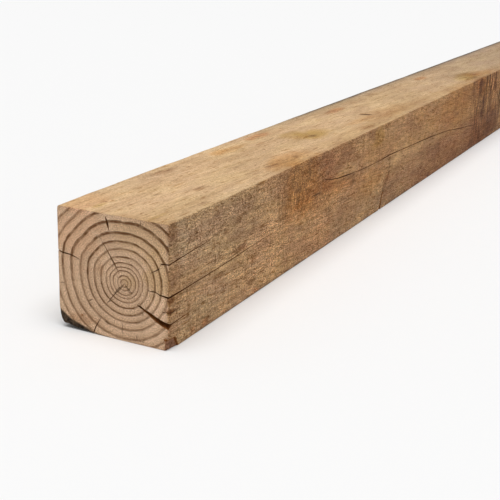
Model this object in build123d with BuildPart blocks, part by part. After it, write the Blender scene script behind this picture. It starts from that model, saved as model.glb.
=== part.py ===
"""A squared chestnut beam with its heart boxed in, sawn from one small log and dried in the open.

It is one piece of wood: a square prism with sawn faces and slightly worn arrises. As it dried, the
wood shrank more round the rings than across them, so it opened along radial drying checks. They are
widest at the crosscut end and close again along the beam. One long check wanders down the front
face. The log was a little too small for the square, so its round surface is left as wane on the
lower back arris. A splinter is broken out of the lower front arris at the crosscut.

Frame: X runs along the beam, and the near end is at -X. The front face looks to -Y. Z is up, with
the origin in the middle of the bottom face, on which the beam lies. Sizes are in millimetres.

Places in the section are pairs: across, from the middle towards the front, and up, from the bottom.
"""

import os

from build123d import *

# The sawn blank
beam_length = 2500.0
beam_width = 150.0
beam_height = 150.0
arris_radius = 0.8

# The heart of the log, to which every drying check points
pith_across = 16.5
pith_up = 71.0

# Wane on the lower back arris, widest at the near end
wane_on_bottom = 66.0
wane_on_back = 15.0
wane_corner_in = 2.6
wane_corner_up = 5.4
wane_round = 5.0
wane_run = 950.0

# The splinter broken out of the lower front arris, as it shows on the front face
chip_height = 13.0
chip_length_at_top = 14.5
chip_length_at_bottom = 21.0
chip_depth_at_end = 3.4
chip_depth_inside = 1.6

# Heart check: the widest one, a wedge from near the pith down to the front face
heart_tip_depth = 42.0
heart_tip_up = 48.6
heart_mouth_up = 29.3
heart_mouth_gap = 6.4
heart_root_gap = 2.0
heart_spur_length = 6.0
heart_mouth_rise = 1.8
heart_wide_run = 7.0
heart_narrow_gap = 1.3
heart_run = 62.0

# Front checks: the depth of the tip from the front face, its height, and the height, gap, run and
# rise of the open mouth along the front face
front_tip_depth = 26.5
front_tip_up = 68.6
front_mouth_up = 64.4
front_gap = 2.0
front_run = 290.0
front_rise = 3.6

upper_tip_depth = 24.0
upper_tip_up = 89.5
upper_mouth_up = 105.0
upper_gap = 1.2
upper_run = 95.0
upper_rise = 2.5

nick_tip_depth = 8.0
nick_tip_up = 47.0
nick_mouth_up = 45.4
nick_gap = 1.6
nick_run = 30.0
nick_rise = 0.5

# Shoulder check: the short one near the top of the front face, measured down from the top
shoulder_tip_depth = 9.0
shoulder_tip_drop = 27.5
shoulder_mouth_drop = 25.5
shoulder_gap = 1.1
shoulder_run = 30.0
shoulder_rise = 0.8

# Back check: the one that opens on the back face
back_tip_depth = 30.0
back_tip_up = 89.6
back_mouth_up = 95.6
back_gap = 1.3
back_run = 380.0
back_rise = 4.0

# Sole check: the one that opens on the bottom face
sole_tip_up = 19.5
sole_tip_across = -18.2
sole_mouth_across = -27.6
sole_gap = 1.4
sole_run = 120.0
sole_shift = 3.0

# Checks inside the end face, which reach no arris: both ends of each, its gap and its depth
crown_top_drop = 3.6
crown_bottom_drop = 19.5
crown_top_across = -8.4
crown_bottom_across = -4.0
crown_gap = 1.6
crown_depth = 26.0

rising_outer = (-16.2, 120.2)
rising_inner = (11.0, 79.0)
rising_gap = 1.2
rising_depth = 30.0

pith_outer = (-3.0, 49.0)
pith_inner = (17.4, 72.2)
pith_gap = 1.2
pith_depth = 26.0

spur_outer = (27.0, 59.2)
spur_inner = (18.4, 66.6)
spur_gap = 1.1
spur_depth = 14.0

shake_left = (-12.8, 19.4)
shake_right = (-0.6, 16.9)
shake_gap = 1.0
shake_depth = 12.0

# The long check on the front face: how far from the near end it goes, and how high
face_check_route = (
    (445.0, 112.0),
    (458.0, 104.0),
    (500.0, 99.5),
    (600.0, 89.5),
    (705.0, 87.5),
    (728.0, 92.0),
    (850.0, 88.0),
    (1000.0, 79.5),
    (1095.0, 74.5),
    (1205.0, 61.5),
    (1350.0, 46.0),
)
face_check_gap = 1.5
face_check_depth = 22.0

# The short split that rises from the lower front arris, part of the way along
arris_split_route = ((701.0, 3.0), (708.0, 16.0), (714.0, 30.0))
arris_split_gap = 1.6
arris_split_depth = 7.0

# The width of a check where it dies out, and the depth that is left of it there
hairline = 0.25
run_out_depth = 2.0

# How far a cutting shape stands clear of the surface that it opens
cut_clearance = 0.6

near_end = -beam_length / 2
front_across = beam_width / 2
back_across = -beam_width / 2


def section_plane(distance):
    """The plane square to the beam, at a distance from its near end."""
    return Plane.YZ.offset(near_end + distance)


def in_section(places):
    """Corners for a sketch in a section plane, whose own X points away from the front face."""
    return [(-across, up) for across, up in places]


def square_to(start, stop, length):
    """A step of a given length, square to the line between two places."""
    line = Vector(*stop) - Vector(*start)
    return Vector(-line.Y, line.X).normalized() * length


def wedge(tip, mouth, gap):
    """The outline of a check that opens on a face. Its mouth stands clear of the face."""
    inner = Vector(*tip)
    outer = Vector(*mouth)
    clear = outer + (outer - inner).normalized() * cut_clearance * 2
    side = square_to(tip, mouth, gap / 2)
    corners = (inner, clear + side, clear - side)
    return [(corner.X, corner.Y) for corner in corners]


def lens(start, stop, gap):
    """The outline of a check that is widest in the middle and reaches no face."""
    middle = (Vector(*start) + Vector(*stop)) / 2
    side = square_to(start, stop, gap / 2)
    corners = (Vector(*start), middle + side, Vector(*stop), middle - side)
    return [(corner.X, corner.Y) for corner in corners]


def along_beam(stations):
    """A void that changes from outline to outline, each at its own distance from the near end."""
    with BuildPart() as void:
        for distance, outline in stations:
            with BuildSketch(section_plane(distance)):
                Polygon(*in_section(outline), align=None)
        loft(ruled=True)
    return void.part


def open_check(tip, mouth, gap, run, far_mouth):
    """A check that opens on the end and on one face, and dies out at its mouth as it runs along."""
    depth = Vector(*tip) - Vector(*mouth)
    far_tip = Vector(*far_mouth) + depth.normalized() * run_out_depth
    stations = (
        (-cut_clearance, wedge(tip, mouth, gap)),
        (run, wedge((far_tip.X, far_tip.Y), far_mouth, hairline)),
    )
    return along_beam(stations)


def closed_check(start, stop, gap, depth):
    """A check that opens on the end face only, and shrinks towards its middle as it goes in."""
    middle = (Vector(*start) + Vector(*stop)) / 2
    far_start = middle + (Vector(*start) - middle) / 3
    far_stop = middle + (Vector(*stop) - middle) / 3
    stations = (
        (-cut_clearance, lens(start, stop, gap)),
        (depth, lens((far_start.X, far_start.Y), (far_stop.X, far_stop.Y), hairline)),
    )
    return along_beam(stations)


def front_check(tip_depth, tip_up, mouth_up, gap, run, rise):
    """A check that opens on the end and on the front face."""
    tip = (front_across - tip_depth, tip_up)
    return open_check(tip, (front_across, mouth_up), gap, run, (front_across, mouth_up + rise))


def heart_check():
    """The widest check. It gapes at the crosscut, closes within a hand's width, and has a spur at its root."""
    root = (front_across - heart_tip_depth, heart_tip_up)
    mouth = (front_across, heart_mouth_up)
    spur = Vector(*root) + square_to(mouth, root, heart_spur_length)
    line = (Vector(*mouth) - Vector(*root)).normalized()
    shoulder = Vector(*root) + line * heart_spur_length

    def outline(mouth_gap, root_gap, spur_share, rise):
        clear = Vector(*mouth) + line * cut_clearance * 2 + Vector(0, rise)
        mouth_side = square_to(root, mouth, mouth_gap / 2)
        root_side = square_to(root, mouth, root_gap / 2)
        spur_tip = shoulder - root_side + (spur - Vector(*root)) * spur_share
        corners = (
            Vector(*root),
            shoulder + root_side,
            clear + mouth_side,
            clear - mouth_side,
            shoulder + line * heart_root_gap - root_side,
            spur_tip,
            shoulder - root_side,
        )
        return [(corner.X, corner.Y) for corner in corners]

    stations = (
        (-cut_clearance, outline(heart_mouth_gap, heart_root_gap, 0.8, 0)),
        (heart_wide_run, outline(heart_narrow_gap, heart_narrow_gap / 2, 0.4, heart_mouth_rise)),
        (heart_run, outline(hairline, hairline / 2, 0.1, heart_mouth_rise)),
    )
    return along_beam(stations)


def on_front_face(route, gap, depth):
    """A check that opens on the front face alone. It follows a route, and its walls point at the pith."""
    to_pith = depth / (front_across - pith_across)

    def ribbon(width, share):
        upper = []
        lower = []
        last = len(route) - 1
        for index, (distance, up) in enumerate(route):
            place = Vector(near_end + distance, up + (pith_up - up) * share)
            before = route[max(index - 1, 0)]
            after = route[min(index + 1, last)]
            side = square_to(before, after, width / 2)
            if index in (0, last):
                upper.append((place.X, place.Y))
            else:
                upper.append((place.X + side.X, place.Y + side.Y))
                lower.append((place.X - side.X, place.Y - side.Y))
        return upper + lower[::-1]

    with BuildPart() as void:
        with BuildSketch(Plane.XZ.offset(front_across + cut_clearance)):
            Polygon(*ribbon(gap, 0), align=None)
        with BuildSketch(Plane.XZ.offset(front_across - depth)):
            Polygon(*ribbon(hairline, to_pith), align=None)
        loft(ruled=True)
    return void.part


def wane():
    """What the log lacked at the lower back arris: a shallow slope with a rounded corner, dying out."""

    def outline(share):
        places = (
            (back_across - cut_clearance, -cut_clearance),
            (back_across + wane_on_bottom * share, -cut_clearance),
            (back_across + wane_corner_in * share, wane_corner_up * share),
            (back_across - cut_clearance, wane_on_back * share),
        )
        with BuildSketch(section_plane(-cut_clearance if share == 1 else wane_run)) as slope:
            Polygon(*in_section(places), align=None)
            corner = slope.vertices().sort_by(Axis.Y)[-2]
            fillet(corner, wane_round * share)
        return slope.sketch

    near = outline(1)
    far = outline(run_out_depth / wane_on_bottom)
    with BuildPart() as void:
        add(near)
        add(far)
        loft(ruled=True)
    return void.part


def chip():
    """The broken-out splinter. Its floor follows the grain, so it is shallower away from the crosscut."""
    floor_end = Vector(near_end, -front_across + chip_depth_at_end, 0)
    floor_inside = Vector(near_end + chip_length_at_bottom, -front_across + chip_depth_inside, 0)
    along = floor_inside - floor_end
    floor = Plane(origin=floor_end, x_dir=along, z_dir=along.cross(Vector(0, 0, 1)))
    outline = (
        (-cut_clearance, -cut_clearance),
        (chip_length_at_bottom, -cut_clearance),
        (chip_length_at_top, chip_height),
        (-cut_clearance, chip_height),
    )
    with BuildPart() as void:
        with BuildSketch(floor):
            Polygon(*outline, align=None)
        extrude(amount=chip_depth_at_end + cut_clearance)
    return void.part


voids = [
    wane(),
    chip(),
    heart_check(),
    front_check(front_tip_depth, front_tip_up, front_mouth_up, front_gap, front_run, front_rise),
    front_check(upper_tip_depth, upper_tip_up, upper_mouth_up, upper_gap, upper_run, upper_rise),
    front_check(nick_tip_depth, nick_tip_up, nick_mouth_up, nick_gap, nick_run, nick_rise),
    front_check(
        shoulder_tip_depth,
        beam_height - shoulder_tip_drop,
        beam_height - shoulder_mouth_drop,
        shoulder_gap,
        shoulder_run,
        shoulder_rise,
    ),
    open_check(
        (back_across + back_tip_depth, back_tip_up),
        (back_across, back_mouth_up),
        back_gap,
        back_run,
        (back_across, back_mouth_up + back_rise),
    ),
    open_check(
        (sole_tip_across, sole_tip_up),
        (sole_mouth_across, 0),
        sole_gap,
        sole_run,
        (sole_mouth_across + sole_shift, 0),
    ),
    closed_check(
        (crown_top_across, beam_height - crown_top_drop),
        (crown_bottom_across, beam_height - crown_bottom_drop),
        crown_gap,
        crown_depth,
    ),
    closed_check(rising_outer, rising_inner, rising_gap, rising_depth),
    closed_check(pith_outer, pith_inner, pith_gap, pith_depth),
    closed_check(spur_outer, spur_inner, spur_gap, spur_depth),
    closed_check(shake_left, shake_right, shake_gap, shake_depth),
    on_front_face(face_check_route, face_check_gap, face_check_depth),
    on_front_face(arris_split_route, arris_split_gap, arris_split_depth),
]

with BuildPart() as beam:
    with BuildSketch(section_plane(0)) as section:
        Rectangle(beam_width, beam_height, align=(Align.CENTER, Align.MIN))
        fillet(section.vertices(), arris_radius)
    extrude(amount=beam_length)
    for void in voids:
        add(void, mode=Mode.SUBTRACT)

beam.part.label = "beam"
os.makedirs("parts", exist_ok=True)
export_step(beam.part, "parts/beam.step")
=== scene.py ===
"""The looks of a squared chestnut beam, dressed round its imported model.

Lengths in this file are in millimetres, apart from Blender's own, which are in metres. A place in the
section is a pair: across, from the middle of the beam towards its front face, and up, from the floor.
The front face looks to -Y. A station is a distance along the beam, from the near end at -X.
"""

import math

import bpy
import numpy as np
from mathutils import Matrix, Vector


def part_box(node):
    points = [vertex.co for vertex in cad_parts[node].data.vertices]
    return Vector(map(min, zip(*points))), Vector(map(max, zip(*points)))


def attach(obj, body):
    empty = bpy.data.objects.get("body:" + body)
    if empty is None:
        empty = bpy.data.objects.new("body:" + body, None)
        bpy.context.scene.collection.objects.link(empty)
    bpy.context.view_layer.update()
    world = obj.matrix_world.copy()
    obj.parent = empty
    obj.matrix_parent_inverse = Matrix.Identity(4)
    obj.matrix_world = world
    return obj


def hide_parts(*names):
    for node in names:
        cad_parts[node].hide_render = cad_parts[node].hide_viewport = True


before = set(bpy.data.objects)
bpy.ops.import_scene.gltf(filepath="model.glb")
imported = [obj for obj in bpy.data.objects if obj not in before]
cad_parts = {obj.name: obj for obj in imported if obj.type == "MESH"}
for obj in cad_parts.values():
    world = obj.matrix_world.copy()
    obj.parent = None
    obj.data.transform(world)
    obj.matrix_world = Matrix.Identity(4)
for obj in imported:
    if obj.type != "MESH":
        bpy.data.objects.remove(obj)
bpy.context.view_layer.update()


# The log that the beam was sawn from.
# A small coppice chestnut, sawn square round its pith. Its rings are wide and a little lobed. The
# pith drifts along the beam, and the grain winds slowly round it.

metre = 1000.0
low, high = (np.array(corner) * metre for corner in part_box("beam"))
beam_length, beam_width, beam_height = high - low

pith_across = 16.5
pith_up = 71.0
pith_drift_across = -9.0
pith_drift_up = 8.0
pith_drift_run = 2500.0
grain_winding = -0.00107

# The mean radius of the dark line that ends each year's growth, and the lobes of its outline
ring_radii = [0, 5, 9.3, 15.5, 19.5, 24.5, 31.7, 41, 49.7, 59.7, 72.5, 84.5, 95, 106, 118, 130, 142]
lobe_angles = [-180, -150, -120, -90, -60, -30, 0, 20, 45, 70, 90, 120, 137, 157, 180]
lobe_factors = [
    1.01, 0.99, 0.96, 0.945, 0.955, 0.962, 1.0, 1.03, 1.058, 1.035, 1.0, 1.03, 1.02, 1.06, 1.01,
]


def pith_at(station):
    """The pith's place in the section: it drifts in a slow curve that starts level at the near end."""
    share = (station / pith_drift_run) ** 1.5
    return pith_across + pith_drift_across * share, pith_up + pith_drift_up * share


def ring_number(across, height, station):
    """How many years a place is from the pith. Its radius, divided by the lobe factor at its angle,
    is looked up among the ring radii. The lobes turn with the winding of the grain."""
    centre_across, centre_up = pith_at(station)
    side, rise = across - centre_across, height - centre_up
    angle = np.degrees(np.arctan2(rise, side) - grain_winding * station)
    angle = (angle + 180) % 360 - 180
    factor = np.interp(angle, lobe_angles, lobe_factors)
    return np.interp(np.hypot(side, rise) / factor, ring_radii, np.arange(len(ring_radii)))


# The sawn blank.
# A square prism, sawn on four faces and crosscut at both ends. Its arrises are worn unevenly, its
# faces are a little wavy from the saw, and the round of the log is left at the lower back arris.

corner_marks = np.cumsum([0, beam_height, beam_width, beam_height, beam_width])
perimeter = corner_marks[-1]
half_width = beam_width / 2

wane_on_bottom = 66.0
wane_on_back = 15.0
wane_corner_in = 2.6
wane_corner_up = 5.4
wane_run = 950.0
least_wane = 0.02

chip_height = 13.0
chip_length_at_top = 14.5
chip_length_at_bottom = 21.0
chip_depth_at_end = 3.4
chip_depth_inside = 1.6
chip_width = 6.0

# Heights of the saw's waves and of the torn ridges, and how much each kind of wear rounds an arris
saw_wave = 0.22
saw_ripple = 0.10
chip_ridge = 0.5
bark_ridge = 1.3
arris_wear = 0.45
arris_wear_change = 0.35
arris_dent = 0.5
wane_wear = 2.2
wane_wear_girth = 22.0
end_corner_wear = 1.5

dice = np.random.default_rng(11)
lattice = dice.uniform(-1, 1, 4096)
axis_keys = 73856093, 19349663, 83492791
seed_key = 2654435
seed_shift = 17.3


def patchy(pitch, seed, *directions):
    """Values from -1 to 1 that change smoothly from place to place. A lattice of that pitch holds
    random values, and a smooth step blends the values at the corners of each cell."""
    spots = [np.asarray(way, float) / size + seed * seed_shift for way, size in zip(directions, pitch)]
    cells = [np.floor(spot).astype(np.int64) for spot in spots]
    steps = [(spot - cell) ** 2 * (3 - 2 * (spot - cell)) for spot, cell in zip(spots, cells)]
    total = 0
    for corner in range(2 ** len(spots)):
        key, weight = 0, 1
        for axis, (cell, step) in enumerate(zip(cells, steps)):
            far = corner >> axis & 1
            key = key ^ (cell + far) * axis_keys[axis]
            weight = weight * (step if far else 1 - step)
        total = total + lattice[(key ^ seed * seed_key) & 4095] * weight
    return total


def edge_of_square(around):
    """The place on the sharp square that lies a distance round it, counted from the lower front
    arris up the front face, back over the top, down the back and along the bottom."""
    around = np.mod(around, perimeter)
    across = np.interp(around, corner_marks, half_width * np.array([1, 1, -1, -1, 1]))
    return across, np.interp(around, corner_marks, beam_height * np.array([0, 1, 1, 0, 0]))


def in_chip(station, across, height):
    """1 inside the chip that has broken off the lower front corner of the near end, and 0 outside."""
    chip_length = np.interp(height, [0, chip_height], [chip_length_at_bottom, chip_length_at_top])
    below = np.clip((chip_height - height) / 0.8 + 0.5, 0, 1)
    before = np.clip((chip_length - station) / 1.2 + 0.5, 0, 1)
    return below * before * (across > half_width - chip_width)


def outline(around, station):
    """The real edge of the section. A ray goes from the pith through the place on the sharp square,
    and meets six lines: the four faces, each set back by the saw's waves and the chip, and the two
    slopes of the wane. The nearest one counts, and a soft minimum rounds the arris between two."""
    square_across, square_up = edge_of_square(around)
    centre_across, centre_up = pith_at(station)
    side, rise = square_across - centre_across, square_up - centre_up
    reach = np.hypot(side, rise)
    side, rise = side / reach, rise / reach

    wave = saw_wave * patchy((60, 40, 40), 1, station, square_across, square_up)
    wave = wave + saw_ripple * patchy((9, 25, 25), 2, station, square_across, square_up)
    chip_floor = np.interp(station, [0, chip_length_at_bottom], [chip_depth_at_end, chip_depth_inside])
    ridges = chip_ridge * patchy((30, 2.2), 3, station, square_up)
    chip = in_chip(station, square_across, square_up) * (chip_floor + ridges)

    share = np.clip(1 - station / wane_run, 0, 1) + least_wane
    foot = (-half_width + wane_on_bottom * share, 0)
    elbow = (-half_width + wane_corner_in * share, wane_corner_up * share)
    head = (-half_width, wane_on_back * share)

    def distance_to(facing, room):
        """The room before a line over how much the ray faces it, or far off where it looks away."""
        slight, far = 1e-6, 1e6
        return np.where(facing > slight, room / np.maximum(facing, slight), far)

    def distance_to_slope(start, stop):
        run_across, run_up = stop[0] - start[0], stop[1] - start[1]
        room = run_up * (start[0] - centre_across) - run_across * (start[1] - centre_up)
        return distance_to(run_up * side - run_across * rise, room)

    rays = [
        distance_to(side, half_width - wave - chip - centre_across),
        distance_to(-side, half_width - wave + centre_across),
        distance_to(rise, beam_height - wave - centre_up),
        distance_to(-rise, centre_up - np.abs(wave)),
        distance_to_slope(elbow, foot),
        distance_to_slope(head, elbow),
    ]
    at_wane = np.exp(-(((around - corner_marks[3]) / wane_wear_girth) ** 2)) * share
    at_back_corner = np.exp(-(((around - corner_marks[2]) / 12) ** 2)) * np.clip(1 - station / 60, 0, 1)
    dents = np.clip(patchy((8, 60, 60), 5, station, square_across, square_up) - 0.45, 0, 1)
    worn = arris_wear + arris_wear_change * (patchy((35, 90, 90), 4, station, square_across, square_up) + 1)
    worn = worn + arris_dent * dents
    worn = worn + wane_wear * at_wane
    worn = worn + end_corner_wear * at_back_corner
    nearest = np.minimum.reduce(rays)
    reach = nearest - worn * np.log(sum(np.exp(-(ray - nearest) / worn) for ray in rays))
    reach = reach + at_wane * (bark_ridge * patchy((40, 5, 5), 6, station, square_across, square_up))
    return centre_across + side * reach, centre_up + rise * reach


# The drying checks.
# As the beam dried it opened along its radii. Each check is a groove with two torn walls that meet
# at a root. It opens on the end, on a long face or on both, and closes where it dies out.

# The rings of the two ends, and the rows that ease the edge between an end and the long faces. A
# share is how far out a row lies from the pith to the edge
end_rings = 57
far_rings = 14
rim_share = 0.9925
ease_share = 0.9975
ease_station = 0.15
first_step = 0.6


def seen_from_pith(across, height):
    """A place on the near end as a pair: its share of the way out from the pith to the edge of the
    square, and how far round the edge the ray through it comes out."""
    side, rise = across - pith_across, height - pith_up
    never = 1e9
    to_sides = ((half_width if side > 0 else -half_width) - pith_across) / side if side else never
    to_levels = ((beam_height if rise > 0 else 0) - pith_up) / rise if rise else never
    out = min(to_sides, to_levels)
    edge_across, edge_up = pith_across + side * out, pith_up + rise * out
    if out == to_sides:
        around = edge_up if side > 0 else corner_marks[3] - edge_up
    elif rise > 0:
        around = corner_marks[1] + half_width - edge_across
    else:
        around = corner_marks[3] + edge_across + half_width
    return 1 / out, around


def graded(*stretches):
    """Stations along the beam: each stretch gives its end and how many steps lead there."""
    stations = [0.0]
    for stop, steps in stretches:
        stations += list(np.linspace(stations[-1], stop, steps + 1)[1:])
    return stations[1:]


long_stations = graded(
    (first_step, 1), (2.0, 2), (13.0, 7), (22.5, 10), (60.0, 11), (300.0, 34), (440.0, 14), (470.0, 8),
    (694.0, 20), (718.0, 14), (1400.0, 46), (2490.0, 32), (beam_length - first_step, 1),
)
end_shares = np.append(np.arange(1, end_rings) / end_rings, rim_share)
far_shares = np.append(rim_share, np.linspace(1, 0, far_rings + 1)[1:-1])
row_share = np.concatenate([end_shares, [ease_share], np.ones(len(long_stations)), [ease_share], far_shares])
row_station = np.concatenate([
    np.zeros(len(end_shares)),
    [ease_station],
    long_stations,
    [beam_length - ease_station],
    np.full(len(far_shares), beam_length),
])
near_rows = row_station == 0
hairline = 0.5


def path_round(end_places, face_places):
    """How far round the edge a column of the mesh lies in each row. On the end it follows places
    in the section, and along the beam it follows pairs of station and distance round."""
    spots = sorted(seen_from_pith(*place) for place in end_places)
    shares = [share for share, around in spots]
    arounds = np.array([around for share, around in spots])
    start = face_places[0][1]
    arounds = start + (arounds - start + perimeter / 2) % perimeter - perimeter / 2
    shares, arounds = shares + [1.0], list(arounds) + [start]
    on_end = np.interp(row_share, shares, arounds)
    on_face = np.interp(row_station, *zip(*face_places))
    return np.where(near_rows, on_end, on_face), (shares, arounds)


class Fold:
    """A bundle of neighbouring columns that keep a set distance from each other: round an arris,
    or down one wall of a check and up the other."""

    def __init__(self, path, offsets, weights=None):
        self.around, self.end_path = path
        self.offsets = np.array(offsets)
        self.weights = np.zeros(len(offsets)) if weights is None else np.array(weights)
        self.gap = np.full(len(row_share), hairline)
        self.inward = np.zeros(len(row_share))
        self.onward = np.zeros(len(row_share))
        # How dark each row of the walls is painted, as painted shade inside the check
        self.dark = np.zeros(len(row_share))

    def open_at_end(self, tip, gaps, run, face_gaps):
        """A check that opens on the end and on a long face. Its root is a straight line from the tip
        on the end face to the place where it dies out on the long face, and each rung of its walls
        joins places that are as far along the lip as along the root."""
        tip_share = seen_from_pith(*tip)[0]
        edge_across, edge_up = edge_of_square(self.around[near_rows][-1])
        depth = math.hypot(tip[0] - edge_across, tip[1] - edge_up)
        past_tip = np.clip((row_share - tip_share) / (1 - tip_share), 0, 1)
        on_lip = np.where(near_rows, depth * past_tip, depth + row_station)
        along = np.clip(on_lip / (depth + run), 0, 1)
        here = (near_rows & (past_tip > 0)) | (~near_rows & (row_station < run))
        root_depth = depth * (1 - along)
        lip_depth = np.where(near_rows, depth * (1 - past_tip), 0)
        self.inward = np.where(here, root_depth - lip_depth, self.inward)
        self.onward = np.where(here, run * along - row_station, self.onward)
        wide_on_end = np.interp(past_tip, *zip(*gaps))
        wide = np.where(near_rows, wide_on_end, np.interp(row_station, *zip(*face_gaps)))
        self.gap = np.where(here, np.maximum(wide, hairline), self.gap)
        # The walls are painted dark as shade inside the groove, a little less where it gapes widest
        dark = np.clip(wide / hairline, 0, 1) * np.interp(wide, [2.5, 4], [1, 0.65])
        self.dark = np.where(here, dark, self.dark)

    def open_on_end(self, inner, outer, gap, depth):
        """A check that opens on the end face only: deepest and widest halfway between its two ends."""
        start, stop = seen_from_pith(*inner)[0], seen_from_pith(*outer)[0]
        bulge = np.sin(np.pi * np.clip((row_share - start) / (stop - start), 0, 1)) ** 0.6
        here = near_rows & (bulge > 0)
        self.onward = np.where(here, depth * bulge, self.onward)
        self.gap = np.where(here, np.maximum(gap * bulge, hairline), self.gap)
        self.dark = np.where(here, bulge, self.dark)

    def open_on_face(self, gaps, depth):
        """A check that opens on a long face only. Its walls point at the pith, and it is as deep,
        for its width, all along."""
        wide = np.interp(row_station, *zip(*gaps), left=0, right=0)
        here = ~near_rows & (wide > 0)
        widest = max(gap for station, gap in gaps)
        self.inward = np.where(here, depth * wide / widest, self.inward)
        self.gap = np.where(here, np.maximum(wide, hairline), self.gap)
        self.dark = np.where(here, np.clip(wide / hairline, 0, 1), self.dark)


check_offsets = (-0.5, -0.48, -0.42, 0, 0.42, 0.48, 0.5)
check_weights = (0, 0.06, 0.6, 1, 0.6, 0.06, 0)
arris_offsets = (-2.6, -1.3, -0.5, 0, 0.5, 1.3, 2.6)


def check_along(end_places, face_places):
    """The fold of a check that runs through places on the end, and then along the beam through
    pairs of station and distance round."""
    return Fold(path_round(end_places, face_places), check_offsets, check_weights)


# The heart check, the widest: it gapes low down on the end's front edge, and has a short spur at its
# root
heart = check_along(
    [(18.9, 65.6), (26.4, 59.4), (33.0, 48.8), (40.0, 45.2), (50.0, 40.3), (61.0, 34.6)],
    [(0, 29.6), (7, 31.0), (62, 33.0), (900, 33), (1350, 15), (2500, 15)],
)
heart.open_on_end((18.4, 66.6), (27.0, 59.2), 1.2, 14)
heart.open_at_end(
    (33.0, 48.8),
    [(0, 0.8), (0.1, 2.5), (0.3, 4.4), (0.48, 6.0), (0.67, 6.6), (1, 8.2)],
    62,
    [(0, 8.2), (3, 4.8), (7, 1.5), (40, 0.8), (62, 0.1)],
)

# On the front face: a nick, a check half way up, the long wandering one, and one at the shoulder
nick = check_along(
    [(60, 48), (68.3, 46.1), (72.2, 46.9)],
    [(0, 45.4), (30, 45.9), (1100, 44), (1350, 26), (2500, 26)],
)
nick.open_at_end((66.5, 46.2), [(0, 0.6), (1, 1.6)], 34, [(0, 1.3), (20, 1.0), (34, 0.1)])

front = check_along(
    [(30.0, 71.5), (49.4, 68.3), (58.3, 68.4), (61.7, 66.1), (70.6, 65.0)],
    [(0, 64.4), (50, 65.0), (100, 65.8), (150, 67.4), (200, 69.2), (240, 70.6), (285, 70.4),
     (1095, 60), (1350, 36), (2500, 36)],
)
front.open_at_end(
    (47.5, 68.4),
    [(0, 0.6), (0.5, 1.4), (1, 2.6)],
    290,
    [(0, 2.6), (30, 1.8), (60, 1.3), (200, 0.9), (285, 0.1)],
)

upper = check_along(
    [(30, 78.5), (51.7, 90.0), (58.3, 93.9), (62.8, 96.7), (64.4, 102.6)],
    [(0, 103.4), (20, 104.4), (50, 106), (85, 107), (125, 112), (380, 122), (428, 119), (445, 107.5),
     (470, 102), (500, 98), (550, 94.4), (600, 91.2), (650, 89.6), (690, 89.2), (712, 89.6),
     (740, 89.6), (770, 88.8), (800, 87.4), (850, 85.4), (900, 83.4), (950, 81.4), (1000, 78.8),
     (1090, 73.6), (1200, 61), (1250, 57), (1300, 51), (1350, 46), (2500, 48)],
)
upper.open_at_end(
    (50.5, 89.4), [(0, 0.5), (0.3, 1.3), (1, 1.6)], 128, [(0, 1.6), (50, 1.1), (92, 0.7), (128, 0.1)]
)
upper.open_on_face(
    [(428, 0), (446, 1.2), (480, 1.2), (520, 1.6), (548, 1.3), (562, 0.7), (600, 1.1), (640, 0.9),
     (696, 0.9), (708, 1.7), (745, 1.6), (800, 1.0), (860, 1.0), (905, 1.6), (985, 1.6), (1010, 1.4),
     (1090, 1.0), (1210, 1.4), (1300, 1.2), (1350, 0)],
    20,
)

shoulder = check_along(
    [(66.0, 126.4), (71, 124.2)], [(0, 124.5), (22, 126), (400, 134), (700, 120), (2500, 100)]
)
shoulder.open_at_end((66.0, 126.2), [(0, 0.4), (1, 0.9)], 26, [(0, 1.0), (26, 0.1)])

# On the end face only: one below the top, and one that rises from the heart
crown = check_along([(-4.1, 130.9), (-7.2, 142.8), (-8.3, 146.1)], [(0, 234.6), (2500, 234.6)])
crown.open_on_end((-3.9, 130.4), (-8.8, 147.2), 2.8, 26)

rising = check_along(
    [(11.7, 78.3), (8.7, 83.9), (2.2, 94.4), (-4.4, 103.3), (-8.7, 110.0), (-12.6, 115.0), (-16.1, 120.0)],
    [(0, 258), (2500, 262)],
)
rising.open_on_end((11.2, 79.2), (-16.4, 120.6), 1.5, 30)

# One on the back face, and one that comes out on the bottom
back = check_along(
    [(-45.6, 89.4), (-57.2, 92.8), (-67.8, 93.3), (-74.4, 95.2)],
    [(0, 354.6), (380, 351), (1200, 340), (2500, 352)],
)
back.open_at_end((-44.5, 89.2), [(0, 0.5), (0.3, 1.4), (1, 1.9)], 380, [(0, 1.2), (120, 0.9), (380, 0.1)])
back.open_on_face([(620, 0), (700, 1.0), (980, 1.5), (1400, 0.9), (1520, 0)], 18)

sole = check_along(
    [(12.5, 67.3), (6.1, 61.7), (3.5, 56.0), (0.0, 52.2), (-7.2, 43.3), (-18.3, 19.4), (-25.0, 7.8)],
    [(0, 497.5), (120, 494), (2500, 520)],
)
sole.open_on_end((15.6, 70.2), (-5.5, 45.8), 1.2, 22)
sole.open_at_end((-17.9, 20.4), [(0, 0.6), (0.4, 1.3), (1, 1.5)], 120, [(0, 1.2), (120, 0.1)])

# On the end face, the columns of the lower front arris swing clear of the heart check's root
arris_swing = np.interp(row_share, [0.06, 0.16, 0.3, 0.5, 0.8, 0.93], [-62, -46, -32, -15, -3, 0])
arris_path = (np.where(near_rows, arris_swing, 0), None)
chip_edge_share = chip_height / heart.around[near_rows][-1]
chip_path = (arris_path[0] + (heart.around - arris_path[0]) * chip_edge_share, None)


def straight(around):
    """A column that stays at one distance round the edge, in every row."""
    return np.full(len(row_share), float(around)), None


lower_front_arris = Fold(arris_path, arris_offsets)
chip_edge = Fold(chip_path, (-0.45, 0.45))
upper_front_arris, upper_back_arris, lower_back_arris = (
    Fold(straight(mark), arris_offsets) for mark in corner_marks[1:4]
)
round_again = Fold((arris_path[0] + perimeter, None), arris_offsets[:1])

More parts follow.
